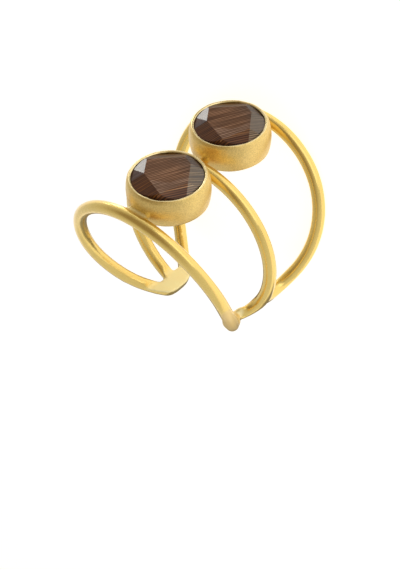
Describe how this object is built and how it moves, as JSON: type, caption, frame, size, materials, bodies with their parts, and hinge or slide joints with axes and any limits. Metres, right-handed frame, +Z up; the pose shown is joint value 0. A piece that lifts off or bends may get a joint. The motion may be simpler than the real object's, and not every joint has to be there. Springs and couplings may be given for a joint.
{
  "type": "open three-wire ring with two bezel-set faceted stones",
  "caption": "Open adjustable finger ring of bowed round wires that meet in a flat end and in a ball, with round bezel cups between the wires, each holding a faceted stone.",
  "frame": {"origin": "on the surface that the ring lies on, below the middle of its box", "axes": "+Z up, away from the surface; the stones face -Y and a little up; the finger's axis leans 19 degrees from Z"},
  "size_m": [0.0208, 0.0235, 0.0212],
  "materials": {
    "gold": "matt gold plate, sandblasted",
    "stone": "polished flat facets over fine fibres"
  },
  "bodies": {
    "root": {"band": "gold", "stone_front": "stone", "stone_rear": "stone"}
  },
  "joints": []
}
